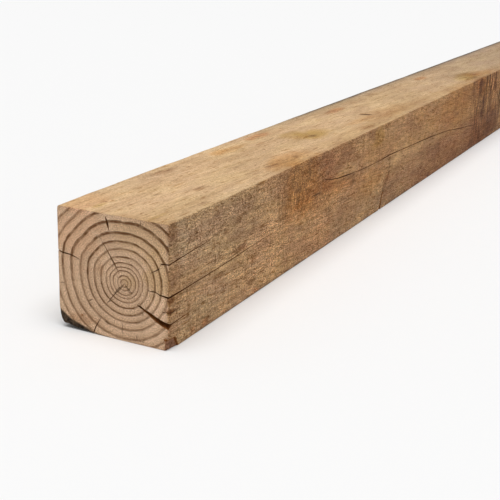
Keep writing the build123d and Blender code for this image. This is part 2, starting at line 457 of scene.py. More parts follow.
# All the folds in their order round the section, and how many plain columns stand between two
folds = [
    lower_front_arris, chip_edge, heart, nick, front, upper, shoulder, upper_front_arris, crown, rising,
    upper_back_arris, back, lower_back_arris, sole, round_again,
]
columns_between = [6, 8, 8, 9, 20, 10, 12, 36, 11, 18, 24, 38, 22, 40]


# The surface of the beam.
# It is one closed skin: rings of the near end from the pith outwards, then the long faces, then the
# far end back to the pith. Each ring has the same columns, so a check runs on over the arris.

wall_raggedness = 0.12
widest_fold = 9.0
room = np.maximum(row_share, 0.02)


def widening(fold):
    """What a fold's offsets are multiplied by in each row. It is 1 at an arris. At a check it is the
    gap over the row's share, up to a limit, because a ring close to the pith is short."""
    return np.minimum(fold.gap / room, widest_fold) if fold.weights.any() else np.ones(len(room))


share_columns, around_columns, station_columns, dark_columns = [], [], [], []
for index, fold in enumerate(folds[:-1]):
    ragged = wall_raggedness * fold.gap * patchy((5, 6), 20 + index, row_station, row_share * 80)
    edge_across, edge_up = edge_of_square(fold.around)
    radius = np.hypot(edge_across - pith_across, edge_up - pith_up)
    for offset, weight in zip(fold.offsets, fold.weights):
        around = fold.around + offset * widening(fold) + ragged * (weight > 0) / room
        share = row_share.copy()
        if fold.weights.any():
            share = share - weight * fold.inward / radius
            follow = np.interp(share, *fold.end_path) - np.interp(row_share, *fold.end_path)
            around = around + follow * (fold.onward > 0) * (row_share > 0.3)
        share_columns.append(share)
        around_columns.append(around)
        station_columns.append(row_station + weight * fold.onward)
        dark_columns.append(fold.dark * (weight > 0))
    nearby = folds[index + 1]
    start = fold.around + fold.offsets[-1] * widening(fold)
    stop = nearby.around + nearby.offsets[0] * widening(nearby)
    for step in range(1, columns_between[index] + 1):
        around_columns.append(start + (stop - start) * step / (columns_between[index] + 1))
        share_columns.append(row_share)
        station_columns.append(row_station)
        dark_columns.append(np.zeros(len(row_share)))

share_grid = np.array(share_columns).T
around_grid = np.array(around_columns).T
station_grid = np.clip(np.array(station_columns).T, 0, beam_length)
check_grid = np.array(dark_columns).T
rows, columns = share_grid.shape

# The short split in the lower front arris is a notch across the grain, painted dark inside as painted shade
split_centre = np.interp(around_grid, [-2, 12, 20, 30], [700, 706, 710, 714])
split_width = np.interp(around_grid, [0, 30], [2.6, 1.2])
split = np.exp(-(((station_grid - split_centre) / split_width) ** 2)) * (np.abs(around_grid - 14) < 16)
share_grid = share_grid - split * np.interp(around_grid, [0, 30], [0.05, 0.02])
check_grid = np.maximum(check_grid, split)

# Crumbs have broken out of the arris between the near end and the front face. Distance round, half
# girth and depth of each
crumb_places = [
    (57.5, 2.4, 2.0),
    (62.2, 1.2, 1.3),
    (44.8, 2.0, 2.8),
    (39.5, 1.8, 1.2),
    (34.6, 1.6, 1.6),
    (84, 2.5, 0.9),
    (113, 3, 0.8),
]
crumbs = np.zeros(around_grid.shape)
for middle, half_girth, deep in crumb_places:
    crumbs = np.maximum(crumbs, deep * np.exp(-(((around_grid - middle) / half_girth) ** 2)))
crumbs = crumbs * np.clip((share_grid - 0.88) / 0.12, 0, 1) * np.exp(-((station_grid / 2.4) ** 2))
share_grid = share_grid - crumbs / 58

edge_across, edge_up = outline(around_grid, station_grid)
centre_across, centre_up = pith_at(station_grid)
across_grid = centre_across + (edge_across - centre_across) * share_grid
up_grid = centre_up + (edge_up - centre_up) * share_grid

grid = np.stack([station_grid, across_grid, up_grid], -1).reshape(-1, 3)
poles = [[0.0, *pith_at(0.0)], [beam_length, *pith_at(beam_length)]]
station, across, height = np.vstack([grid, poles]).T
around = np.append(np.mod(around_grid, perimeter).ravel(), [0, 0])
share = np.append(share_grid.ravel(), [0, 0])
vertices = np.stack([low[0] + station, -across, height], -1) / metre

ring_of = np.arange(rows * columns).reshape(rows, columns)
beside = np.roll(ring_of, -1, axis=1)
quads = np.stack([ring_of[:-1], beside[:-1], beside[1:], ring_of[1:]], -1).reshape(-1, 4)
near_pole, far_pole = rows * columns, rows * columns + 1
near_fan = np.stack([np.full(columns, near_pole), beside[0], ring_of[0]], -1)
far_fan = np.stack([np.full(columns, far_pole), ring_of[-1], beside[-1]], -1)

mesh = bpy.data.meshes.new("chestnut_beam")
mesh.from_pydata(vertices, [], near_fan.tolist() + quads.tolist() + far_fan.tolist())
beam = bpy.data.objects.new("chestnut_beam", mesh)
bpy.context.scene.collection.objects.link(beam)

on_ends = np.repeat((row_station == 0) | (row_station == beam_length), columns).reshape(rows, columns)
end_quads = (on_ends[:-1] & on_ends[1:]).ravel()
is_end = np.concatenate([np.ones(columns, bool), end_quads, np.ones(columns, bool)])
mesh.polygons.foreach_set("material_index", (~is_end).astype(np.int32))
mesh.shade_smooth()
mesh.set_sharp_from_angle(angle=math.radians(50))


# Stains and knots.
# Tannin and rain have stained the sawn faces in patches, and branches leave knots that the grain
# bends round. A patch is a blurred ellipse, and its tint multiplies the colour of the clean wood.

amber = np.array([0.91, 0.76, 0.56])
olive = np.array([0.85, 0.80, 0.55])
plum = np.array([0.78, 0.66, 0.64])
brown = np.array([0.64, 0.50, 0.39])
rust = np.array([0.98, 0.74, 0.60])
pale = np.array([1.12, 1.12, 1.14])
grey = np.array([0.86, 0.90, 0.97])

# Station, distance round from the lower front arris, half length, half girth, rise per length,
# tint and strength
face_stains = [
    (20, 128, 30, 30, 0, grey, 0.6),
    (150, 120, 120, 40, 0, grey, 0.5),
    (250, 60, 70, 50, -0.1, pale, 0.5),
    (372, 115, 66, 46, 0, amber, 0.9),
    (385, 122, 80, 34, 0, brown, 0.3),
    (0, 75, 26, 110, 0, brown, 0.45),
    (390, 108, 34, 20, 0, rust, 0.15),
    (400, 143, 50, 14, 0, brown, 0.35),
    (420, 82, 110, 26, 0, amber, 0.6),
    (312, 118, 16, 34, 0, brown, 0.5),
    (310, 88, 10, 14, 0, brown, 0.4),
    (345, 92, 22, 14, 0, brown, 0.35),
    (500, 130, 75, 26, 0, plum, 0.8),
    (500, 90, 80, 13, -0.12, amber, 0.7),
    (564, 80, 8, 12, 0, brown, 0.8),
    (560, 71, 60, 8, -0.15, pale, 0.6),
    (640, 62, 75, 26, 0, amber, 0.6),
    (672, 132, 26, 18, 0, olive, 0.9),
    (640, 143, 20, 10, 0, brown, 0.4),
    (716, 143, 24, 5, 0, brown, 0.6),
    (600, 22, 120, 26, 0, grey, 0.6),
    (810, 20, 130, 26, 0, grey, 0.7),
    (440, 25, 110, 26, 0, plum, 0.4),
    (200, 20, 20, 4, 0, brown, 0.3),
    (1140, 115, 160, 42, 0, amber, 0.6),
    (1260, 105, 280, 60, 0, amber, 0.45),
    (1280, 12, 330, 32, 0, brown, 0.35),
    (900, 110, 120, 30, 0, amber, 0.35),
    (1160, 24, 420, 46, 0, plum, 0.9),
    (1300, 125, 40, 40, 0, brown, 0.4),
    (1338, 140, 18, 9, 0, plum, 1.1),
    (1372, 115, 30, 40, 0, brown, 0.45),
    (1330, 62, 60, 40, 0, plum, 0.5),
    (1455, 35, 75, 42, 0, brown, 0.5),
    (1455, 45, 75, 42, 0, plum, 0.5),
    (1375, 97, 15, 10, 0, brown, 0.7),
    (1420, 125, 120, 60, 0, amber, 0.4),
    (1330, 8, 70, 16, 0, brown, 0.5),
    (1370, 34, 90, 44, 0, brown, 0.4),
    (1330, 145, 60, 16, 0, brown, 0.5),
    (1335, 186, 70, 22, 0.1, olive, 0.9),
    (1385, 184, 60, 18, 0.1, amber, 0.5),
    (1388, 180, 30, 11, 0, brown, 0.45),
    (1380, 196, 40, 10, 0.1, brown, 0.35),
    (1430, 170, 60, 16, 0, amber, 0.6),
    # The next two brown patches are painted shade in the crumbs broken out of the near end's front arris
    (6, 60, 7, 3.5, 0, brown, 1.2),
    (5, 47, 9, 3, 0, brown, 1.3),
    (9, 138, 9, 14, 0, brown, 0.35),
    (12, 92, 10, 12, 0, brown, 0.25),
    (160, 75, 12, 3, -0.06, brown, 0.7),
    (180, 75, 14, 5, -0.06, plum, 1.0),
    (100, 30, 60, 16, 0, grey, 0.5),
    (8, 140, 10, 14, 0, brown, 0.35),
    (565, 40, 110, 8, 0, brown, 0.2),
    (120, 55, 12, 3.5, -0.06, brown, 0.7),
    (135, 107, 8, 4, -0.06, brown, 0.6),
    (167, 116, 12, 5, -0.06, brown, 0.6),
    (207, 22, 12, 5, -0.06, brown, 0.6),
    (55, 8, 6, 4, 0, rust, 0.8),
    (86, 7, 8, 4, 0, rust, 1.0),
    (132, 4, 8, 3, 0, rust, 0.8),
    (220, 6, 9, 4, 0, rust, 0.7),
    (355, 91, 6, 5, 0, brown, 0.8),
    (376, 90, 6, 4, 0, brown, 0.6),
    (724, 48, 15, 26, 0.6, brown, 0.4),
    (737, 52, 7, 6, 0, rust, 0.9),
    (466, 42, 5, 5, 0, brown, 0.5),
    (468, 20, 6, 4, 0, brown, 0.5),
    (18, 60, 14, 12, 0, brown, 0.2),
    (50, 60, 30, 38, 0, brown, 0.32),
    (100, 138, 26, 12, 0, brown, 0.2),
    (176, 10, 54, 20, 0, pale, 1.3),
    (252, 76, 30, 28, 0, pale, 1.0),
    (250, 138, 16, 12, 0, brown, 0.3),
    (288, 126, 16, 24, 0, brown, 0.3),
    (318, 72, 20, 16, 0, brown, 0.2),
    (375, 86, 50, 12, 0, pale, 1.0),
    (425, 40, 36, 34, 0, pale, 0.9),
    (456, 120, 32, 36, 0, plum, 0.6),
    (490, 132, 44, 18, 0, brown, 0.2),
    (530, 34, 46, 14, 0, brown, 0.25),
    (505, 22, 30, 24, 0, grey, 0.8),
    (555, 72, 100, 20, 0, pale, 0.9),
    (680, 110, 110, 24, 0, amber, 0.4),
    (700, 8, 24, 12, 0, grey, 0.7),
    (800, 127, 46, 24, 0, pale, 1.2),
    (900, 138, 50, 13, 0, amber, 0.35),
    (1060, 90, 96, 20, 0, pale, 0.8),
    (1280, 8, 300, 14, 0, grey, 0.6),
    (1320, 60, 28, 16, 0, pale, 0.7),
    (1350, 130, 30, 26, 0, brown, 0.75),
    (1400, 10, 44, 13, 0, brown, 0.4),
    (1462, 124, 38, 34, 0, pale, 2.0),
    (1472, 60, 26, 16, 0, brown, 0.7),
    (330, 163, 40, 14, 0, brown, 0.2),
    (520, 278, 46, 22, 0, brown, 0.2),
    (150, 286, 130, 22, 0, grey, 0.5),
    (150, 286, 130, 22, 0, pale, 0.8),
    (400, 195, 46, 18, 0, pale, 0.8),
    (590, 225, 42, 17, 0, pale, 0.8),
    (1360, 255, 70, 22, 0, pale, 0.8),
    (1290, 165, 36, 15, 0, pale, 0.9),
    (35, 280, 45, 22, 0, rust, 0.35),
    (20, 177, 18, 4, 0, olive, 0.6),
    (24, 258, 18, 4, 0, olive, 0.6),
    (152, 198, 14, 6, 0, brown, 0.5),
    (205, 280, 28, 7, -0.05, brown, 0.45),
    (355, 277, 26, 8, 0, amber, 0.8),
    (395, 272, 20, 8, 0, brown, 0.3),
    (480, 281, 38, 9, 0, rust, 0.8),
    (441, 254, 14, 4, 0, brown, 0.5),
    (375, 270, 50, 10, 0, amber, 0.45),
    (540, 216, 50, 24, -0.1, olive, 1.1),
    (510, 220, 22, 10, 0, brown, 0.35),
    (525, 244, 30, 12, 0, olive, 0.7),
    (360, 172, 66, 24, 0.1, amber, 0.8),
    (330, 178, 34, 14, 0.2, brown, 0.35),
    (655, 164, 26, 8, 0, brown, 0.6),
    (860, 271, 24, 10, 0, brown, 0.3),
    (975, 275, 24, 9, 0, brown, 0.35),
    (860, 178, 160, 20, 0, brown, 0.25),
    (700, 195, 60, 9, -0.05, amber, 0.45),
    (800, 190, 110, 26, 0, amber, 0.4),
    (760, 266, 38, 10, 0, rust, 0.8),
    (1240, 262, 32, 9, 0, rust, 0.8),
    (250, 238, 20, 12, 0, pale, 0.4),
    (210, 262, 250, 34, 0, pale, 0.5),
    (1700, 225, 500, 90, 0, grey, 0.4),
    (900, 405, 60, 30, 0.1, amber, 0.8),
    (1650, 360, 200, 40, 0, plum, 0.6),
    (300, 330, 180, 30, 0, grey, 0.8),
    (2050, 90, 160, 40, 0, amber, 0.6),
    (1900, 540, 260, 50, 0, plum, 0.7),
    (500, 520, 200, 40, 0, amber, 0.5),
]

# Station, distance round, half length and radius
knots = [
    (344, 112, 26, 8),
    (535, 212, 34, 15),
    (1362, 118, 26, 10),
    (1385, 180, 30, 9),
    (905, 398, 26, 13),
    (1780, 95, 26, 12),
    (1500, 530, 30, 14),
    (2140, 250, 24, 11),
]

on_face = np.clip((share - 0.9) / 0.09, 0, 1)
step_across, step_up = (np.array(edge_of_square(around + 1)) - np.array(edge_of_square(around - 1))) / 2
stain = np.ones((len(station), 3))
bend = np.zeros(len(station))
knot = np.zeros(len(station))


def blot(along, beside, seed):
    """How much of a stain lies on a place: full in the middle of its ellipse, none past its ragged
    edge. The two distances come as shares of the ellipse's half axes."""
    far = np.hypot(along, beside) + 0.3 * patchy((11, 7), seed, station, around + across * 0.7)
    share_left = np.clip((1.3 - far) / 0.8, 0, 1)
    return share_left * share_left * (3 - 2 * share_left)


def round_from(middle):
    """The distance round the section from a place on it, the short way, and with a sign."""
    return np.mod(around - middle + perimeter / 2, perimeter) - perimeter / 2


for number, (middle, round_middle, half_run, half_girth, tilt, tint, strength) in enumerate(face_stains):
    beside = round_from(round_middle) - tilt * (station - middle)
    mask = blot((station - middle) / half_run, beside / half_girth, 40 + number) * strength * on_face
    stain *= 1 - mask[:, None] * (1 - tint)

# The grain bends round a knot: it is pushed aside by up to the knot's radius
for middle, round_middle, half_run, radius in knots:
    along, beside = (station - middle) / half_run, round_from(round_middle)
    pushed = radius * np.exp(-along ** 2) * np.exp(-np.abs(beside) / (1.6 * radius))
    bend += on_face * np.tanh(beside / (0.35 * radius)) * pushed
    knot = np.maximum(knot, on_face * np.clip(1.35 - np.hypot(along * 2.2, beside * 1.6 / radius), 0, 1))

years = ring_number(across - bend * step_across, height - bend * step_up, station)

# Clean wood differs from face to face: the end is pinker, and the rough faces are darker than the top,
# partly as rougher, browner wood and partly as painted shade on the sides, which get less light
on_top = np.clip((round_from(225) + 76) / 2, 0, 1) * np.clip((76 - round_from(225)) / 2, 0, 1)
side_tone_and_shade = np.array([0.93, 0.90, 0.895])
face_tone_and_shade = on_top[:, None] + (1 - on_top[:, None]) * side_tone_and_shade
warming = np.interp(station, [30, 330, 1100], [0, 0.8, 1])[:, None] * (1 - on_top[:, None])
greying = np.interp(station, [400, 1200, 1800], [0, 0.42, 1])[:, None]
drift = (1 - warming * np.array([-0.04, 0.06, 0.19])) * (1 - greying * np.array([0.24, 0.22, 0.14]))

# The top is darker along its two arrises. The worn upper back arris has a dark line, partly dirt and
# partly painted shade where the rounded arris turns away from the light
front_of_top = np.exp(-(((round_from(170) + 4) / 17) ** 2)) * on_top
front_of_top = front_of_top * np.interp(station, [330, 420, 700, 1500], [0, 0.5, 1, 0.6])
back_of_top = np.exp(-((round_from(303) / 20) ** 2)) * on_top
back_of_top = back_of_top * np.interp(station, [250, 700, 900], [0, 0.6, 0.8])
arris_line_reach = np.where(round_from(300) > 0, 4, 8)
arris_dirt_and_shade = np.exp(-((round_from(300) / arris_line_reach) ** 2)) * np.interp(station, [480, 760], [0, 1])
arris_dirt_and_shade = arris_dirt_and_shade * (0.78 + 0.3 * patchy((34, 9), 142, station, around))
for cover, taken_off in (
    (front_of_top, [0.15, 0.20, 0.28]), (back_of_top, [0.29, 0.23, 0.08]), (arris_dirt_and_shade, [0.86, 0.85, 0.82])
):
    drift = drift * (1 - cover[:, None] * np.array(taken_off))
stain *= np.where(share[:, None] > 0.985, face_tone_and_shade * drift, 1)

# Across, up, half width, half height, tint and strength, on the near end
end_stains = [
    (-48, 118, 34, 40, rust, 0.3),
    (-62, 85, 12, 50, pale, 0.5),
    (62, 48, 15, 14, pale, 0.9),
    (60, 88, 18, 30, olive, 0.5),
    (-42.8, 20.6, 1.7, 1.7, brown, 1.2),
    (40, 130, 44, 22, olive, 0.3),
    (-40, 16, 24, 7, brown, 0.5),
    (-16, 82, 5, 10, brown, 0.5),
    (24, 74, 12, 9, olive, 0.4),
]
# Where the saw has torn the fibres: across the grain by the knots, and along it elsewhere. Station,
# distance round, half length, half girth and strength
torn_across = [
    (340, 118, 22, 34, 1.0), (362, 104, 24, 30, 1.0), (296, 112, 14, 26, 0.8), (310, 96, 14, 22, 0.9),
    (352, 90, 16, 6, 1.1), (386, 92, 14, 5, 1.0), (385, 132, 22, 18, 0.9), (420, 95, 30, 20, 0.6),
    (130, 130, 40, 16, 0.4), (155, 138, 16, 14, 0.5), (565, 81, 14, 14, 0.8), (1362, 104, 34, 42, 1.2),
    (1300, 118, 22, 30, 0.8), (1440, 100, 44, 36, 0.6), (1395, 142, 18, 14, 1.0), (1430, 28, 40, 20, 0.8),
    (642, 142, 16, 9, 0.8), (1320, 176, 40, 12, 0.6),
]
torn_along = [
    (160, 73, 16, 4, 1.0), (180, 78, 16, 5, 0.9), (123, 56, 12, 3.5, 1.0), (167, 116, 12, 4, 0.9),
    (134, 107, 10, 4, 0.8), (208, 22, 14, 5, 0.7), (720, 145, 24, 4, 0.9), (1310, 78, 20, 5, 0.9),
    (1392, 67, 20, 6, 0.8), (1398, 33, 24, 6, 0.8), (940, 52, 30, 6, 0.6), (1010, 54, 20, 8, 0.5),
    (322, 178, 34, 8, 0.9), (372, 172, 34, 9, 0.8), (452, 256, 30, 5, 0.8), (158, 200, 14, 4, 0.8),
    (174, 246, 10, 4, 0.8), (205, 281, 30, 8, 0.6), (1318, 172, 30, 7, 0.9), (1346, 168, 34, 7, 0.9),
    (656, 163, 24, 7, 0.8), (716, 192, 24, 6, 0.6), (100, 229, 10, 4, 0.7), (86, 162, 34, 5, 0.5),
    (210, 60, 60, 8, 0.35), (22, 259, 20, 4, 0.5), (16, 176, 14, 3.5, 0.5), (630, 196, 34, 6, 0.5),
    (500, 60, 90, 14, 0.35), (960, 278, 30, 6, 0.7), (470, 279, 30, 6, 0.8), (500, 284, 20, 4, 0.7),
    (745, 267, 30, 6, 0.8), (778, 261, 22, 5, 0.7), (1238, 262, 26, 6, 0.7), (355, 277, 22, 6, 0.7),
    (395, 272, 20, 5, 0.7), (330, 250, 24, 4, 0.5), (290, 214, 20, 4, 0.5), (860, 271, 22, 6, 0.7),
]
torn_fibres = np.zeros((2, len(station)))
for kind, places in enumerate((torn_across, torn_along)):
    for number, (middle, round_middle, half_run, half_girth, strength) in enumerate(places):
        along, beside = (station - middle) / half_run, round_from(round_middle) / half_girth
        mask = blot(along, beside, 130 + 40 * kind + number) * strength * on_face
        torn_fibres[kind] = np.maximum(torn_fibres[kind], mask)

end_reach = 3.0
on_near_end = (station < end_reach) & (share < 1)
for number, (side_middle, up_middle, half_breadth, half_height, tint, strength) in enumerate(end_stains):
    along, beside = (across - side_middle) / half_breadth, (height - up_middle) / half_height
    mask = blot(along, beside, 120 + number) * strength
    stain *= 1 - (mask * on_near_end)[:, None] * (1 - tint)

# How dark the line of each year is on the near end: the year, the arc in degrees that it is seen over
# and its strength. Elsewhere on that end it is faint
ring_arcs = [
    (1, 60, 180, 0.9), (2, 20, 150, 1.0), (2, -150, -60, 0.7), (3, 40, 170, 0.9), (3, -140, -30, 0.8),
    (4, -180, 180, 0.8), (4, 60, 120, 1.0), (5, 60, 130, 1.0), (5, -170, -60, 0.9), (6, 75, 115, 1.0),
    (6, -180, -60, 1.0), (6, 130, 180, 0.6), (7, -180, 80, 0.85), (7, 80, 180, 0.5), (8, -20, 180, 0.95),
    (8, -180, -60, 0.7), (9, 20, 135, 1.0), (9, -150, -60, 0.6), (9, -122, -108, 1.0), (10, 30, 180, 1.0),
    (10, -180, -130, 0.7), (11, 45, 70, 0.95), (11, 105, 180, 0.95), (11, -180, -125, 0.7),
    (12, 118, 152, 0.5),
]
faint_line, far_end_line = 0.6, 0.75
turn_of = np.degrees(np.arctan2(height - pith_up, across - pith_across))
nearest_year = np.round(years)
line_strength = np.full(len(station), faint_line)
for year, start, stop, strength in ring_arcs:
    ramp_in = 1 if start == -180 else np.clip((turn_of - start) / 12 + 0.5, 0, 1)
    ramp_out = 1 if stop == 180 else np.clip((stop - turn_of) / 12 + 0.5, 0, 1)
    arc = ramp_in * ramp_out * (np.abs(nearest_year - year) < 0.4)
    line_strength = np.where(arc > 0, np.maximum(line_strength, strength * arc), line_strength)
line_strength = np.where(station < end_reach, line_strength, far_end_line)

# The bark covers the wane up to a line that climbs towards the back. The floor of the chip is torn wood
# with a painted shadow along its rim, and painted shade lies along the lower front arris by the floor
bark_line = 9 + 14 * np.clip((-across - 48) / 27, 0, 1) ** 1.5 - 6 * np.clip((across + 48) / 21, 0, 1)
near_wane = np.clip(1 - station / wane_run, 0, 1)
bark = np.clip((bark_line * near_wane - height) / 3 + 0.5, 0, 1) * (across < -24)
# Towards the middle of the bottom the bark fades out, and the brown at its edge there is painted shade by
# the floor
bark = np.where(share > 0.6, bark, 0) * np.clip((-24 - across) / 26, 0, 1) ** 0.5
chipped = in_chip(station, across, height) * (across > half_width - 5) * (share > 0.95)
torn = np.clip(chipped * 2 - 0.4, 0, 1)
chip_reach = np.interp(height, [0, chip_height], [chip_length_at_bottom, chip_length_at_top])
# Painted shadow along the top and far edges of the chip, where it steps in
chip_rim_shadow = np.exp(-(((height - chip_height) / 0.9) ** 2)) * (station < chip_length_at_top)
chip_rim_shadow = np.maximum(chip_rim_shadow, np.exp(-(((station - chip_reach) / 1.1) ** 2)) * (height < chip_height))
chip_rim_shadow = chip_rim_shadow * (across > half_width - chip_width) * (share > 0.93)
# Painted shade along the lower front arris, where the beam stands on the floor
lower_arris_shade = np.exp(-np.abs(round_from(0)) / 2.2) * on_face * np.clip(station / 60, 0, 1)

# The saw has left the faces furry, most round the knots and least on the planed top. Past 600 mm the
# upper half of the front face is smoother
smooth_run = np.interp(station, [480, 640, 1230, 1300], [0, 1, 1, 0])
smooth_part = smooth_run * np.interp(np.abs(round_from(112)), [36, 66], [1, 0.35])
nap = 0.84 * (1 - 0.5 * smooth_part) * (1 - 0.66 * on_top) + 0.3 * torn_fibres[0]
nap = nap * (0.95 + 0.36 * patchy((46, 17), 141, station, around))

# From 1.3 m on the saw has also left coarse bands across the rough faces
saw_bands = np.interp(station, [1270, 1310, 1600, 1750, 2500], [0, 1, 1, 0.3, 0.3]) * (1 - on_top)
saw_bands = saw_bands * np.interp(np.abs(round_from(115)), [45, 80, 200], [1, 0.35, 0.5])
saw_bands = saw_bands * (0.8 + 0.4 * patchy((30, 30), 140, station, around))


def carry(name, values, kind="FLOAT", part="value"):
    """Gives the mesh a value for each of its vertices, under a name that the materials read."""
    mesh.attributes.new(name, kind, "POINT").data.foreach_set(part, values.astype(np.float32).ravel())


fields = {
    "nap": nap,
    "years": years,
    "year_line": line_strength,
    "check": np.maximum(np.append(check_grid.ravel(), [0, 0]), chip_rim_shadow),
    "bark": bark,
    "torn": torn,
    "knot": knot,
    "lower_arris_shade": lower_arris_shade,
    "planed": on_top,
    "torn_across": torn_fibres[0],
    "torn_along": torn_fibres[1],
    "saw_bands": saw_bands,
}
for name, values in fields.items():
    carry(name, values)
bend_vector = np.stack([np.zeros(len(station)), bend * step_across, -bend * step_up], -1) / metre
carry("bend", bend_vector, "FLOAT_VECTOR", "vector")
carry("stain", np.column_stack([stain, np.ones(len(station))]), "FLOAT_COLOR", "color")


# The wood's colour and relief.
# Bare chestnut, sawn and dried. It has two finishes, the crosscut ends and the sawn faces, and both are
# built from the same shader groups: the grain's own space, fibres, rings, hair checks, bark and painted
# shade.


class NodeTree:
    """A tree of shader nodes that is being put together. Apart from feed, each method adds nodes and
    gives what they put out. A colour is three numbers, and gets its alpha of 1 in feed."""

    def __init__(self, tree):
        self.nodes, self.links = tree.nodes, tree.links

    def feed(self, socket, value):
        """Sets an input: a socket is linked to it, another value is written into it, and None leaves
        it as it is."""
        if isinstance(value, bpy.types.NodeSocket):
            self.links.new(value, socket)
        elif value is not None:
            socket.default_value = (*value, 1) if socket.type == "RGBA" else value

    def add(self, kind, *values, **settings):
        """A new node, with its settings made and its first inputs fed in order."""
        node = self.nodes.new("ShaderNode" + kind)
        for name, setting in settings.items():
            setattr(node, name, setting)
        for socket, value in zip(node.inputs, values):
            self.feed(socket, value)
        return node

    def calc(self, operation, *values):
        """The result of a maths node."""
        return self.add("Math", *values, operation=operation).outputs[0]

    def times(self, first, second):
        """Two values multiplied."""
        return self.calc("MULTIPLY", first, second)

    def vector(self, operation, *values):
        """The vector that a vector maths node gives."""
        return self.add("VectorMath", *values, operation=operation).outputs[0]

    def measure(self, operation, *values):
        """The number that a vector maths node gives."""
        return self.add("VectorMath", *values, operation=operation).outputs["Value"]

    def spread(self, value, low_end, high_end, to_low=0.0, to_high=1.0):
        """A value moved from one range to another along a smooth curve, and held at both ends."""
        ends = low_end, high_end, to_low, to_high
        return self.add("MapRange", value, *ends, interpolation_type="SMOOTHSTEP").outputs[0]

    def blend(self, share, first, second, mode="MIX"):
        """Two colours blended by a share."""
        node = self.add("Mix", data_type="RGBA", blend_type=mode)
        for place, value in ((0, share), (6, first), (7, second)):
            self.feed(node.inputs[place], value)
        return node.outputs[2]

    def tint(self, colour, share, factors):
        """A colour multiplied by factors, as far as a share goes."""
        return self.blend(share, colour, factors, "MULTIPLY")

    def noise(self, place, scale, detail=2.0, roughness=0.5, distortion=0.0, along=1, across=1):
        """Smooth noise at a place. The shares of the distances along and across the beam that count
        draw it out in that direction."""
        if along != 1 or across != 1:
            place = self.vector("MULTIPLY", place, (along, across, across))
        node = self.add("TexNoise", place)
        settings = {"Scale": scale, "Detail": detail, "Roughness": roughness, "Distortion": distortion}
        for name, value in settings.items():
            self.feed(node.inputs[name], value)
        return node.outputs[0]

    def carried(self, name, output="Fac"):
        """What the mesh carries under a name."""
        return self.add("Attribute", attribute_name=name).outputs[output]

    def use(self, group, **values):
        """The outputs of a shader group, with its inputs fed by name."""
        node = self.add("Group", node_tree=group)
        for name, value in values.items():
            self.feed(node.inputs[name], value)
        return node.outputs


def shader_group(name, inputs, outputs):
    """An empty shader group with named sockets. Gives the group, its tree, its inputs and its outputs."""
    group = bpy.data.node_groups.new(name, "ShaderNodeTree")
    for in_out, sockets in (("INPUT", inputs), ("OUTPUT", outputs)):
        for socket, kind in sockets.items():
            group.interface.new_socket(socket, in_out=in_out, socket_type="NodeSocket" + kind)
    ins, outs = group.nodes.new("NodeGroupInput").outputs, group.nodes.new("NodeGroupOutput").inputs
    return group, NodeTree(group), ins, outs


# The grain's space is measured in millimetres, turned back by the winding and shifted round the knots
grain_turn_at_end = 0.6

grain_space, tree, _, outs = shader_group("grain_space", {}, {"Section": "Vector", "Place": "Vector"})
here = tree.add("TexCoord").outputs["Object"]
from_end = tree.vector("ADD", here, (-low[0] / metre, 0, 0))
shifted = tree.vector("ADD", from_end, tree.carried("bend", "Vector"))
metres_along = tree.add("SeparateXYZ", from_end).outputs[0]
unwound = tree.add("VectorRotate", shifted, rotation_type="X_AXIS")
tree.feed(unwound.inputs["Center"], (0, -pith_across / metre, pith_up / metre))
angle = tree.calc("MULTIPLY_ADD", metres_along, grain_winding * metre, grain_turn_at_end)
tree.feed(unwound.inputs["Angle"], angle)
tree.feed(outs["Section"], tree.vector("MULTIPLY", unwound.outputs[0], (metre,) * 3))
tree.feed(outs["Place"], tree.vector("MULTIPLY", from_end, (metre,) * 3))

# Fibres are noise drawn out along the grain, in six sizes: the share of the distance along the grain
# that counts, the scale, the detail and the roughness
fibre_sizes = {
    "Clouds": (0.25, 0.022, 3, 0.55),
    "Streaks": (0.045, 0.10, 3, 0.6),
    "Fibres": (0.06, 0.42, 3, 0.65),
    "Tufts": (0.3, 0.2, 3, 0.8),
    "Flecks": (0.12, 0.3, 2, 0.6),
    "Speckle": (0.42, 0.8, 2, 0.85),
}
fibres, tree, _, outs = shader_group("fibres", {}, {name: "Float" for name in fibre_sizes})
grain = tree.use(grain_space)["Section"]
for name, (along, *fineness) in fibre_sizes.items():
    tree.feed(outs[name], tree.noise(grain, *fineness, along=along))

# A year's line is thin and dark where the next year's wood starts, and soft on the side of the pith
growth_rings, tree, _, outs = shader_group(
    "growth_rings", {}, {"Line": "Float", "Late Wood": "Float", "Early Wood": "Float"}
)
grain = tree.use(grain_space)["Section"]
wander = tree.calc("MULTIPLY_ADD", tree.noise(grain, 0.06, 3, 0.6, along=0.02), 0.30, -0.15)
phase = tree.calc("FRACT", tree.calc("ADD", tree.carried("years"), wander))
before, after = tree.spread(phase, 0.74, 0.89), tree.spread(phase, 0.13, 0.05)
tree.feed(outs["Line"], tree.calc("MAXIMUM", before, after))
tree.feed(outs["Late Wood"], tree.spread(phase, 0.30, 0.95))
tree.feed(outs["Early Wood"], tree.times(tree.spread(phase, 0.08, 0.16), tree.spread(phase, 0.42, 0.24)))

# Over the clean wood lie the torn wood of the chip, painted shade along the lower front arris, knots,
# torn fibres, bark and the painted shade inside the checks
splinter_dark = (0.17, 0.075, 0.035)
splinter_light = (0.42, 0.21, 0.115)
lower_arris_shade_black = (0.11, 0.09, 0.085)
knot_brown = (0.15, 0.07, 0.033)
strand_tint = (1.27, 1.31, 1.22)
torn_brown = (0.15, 0.07, 0.026)
bast_and_shade_brown = (0.15, 0.085, 0.045)
bark_black = (0.015, 0.008, 0.004)
bark_brown = (0.085, 0.054, 0.032)
bark_dust = (0.13, 0.095, 0.066)
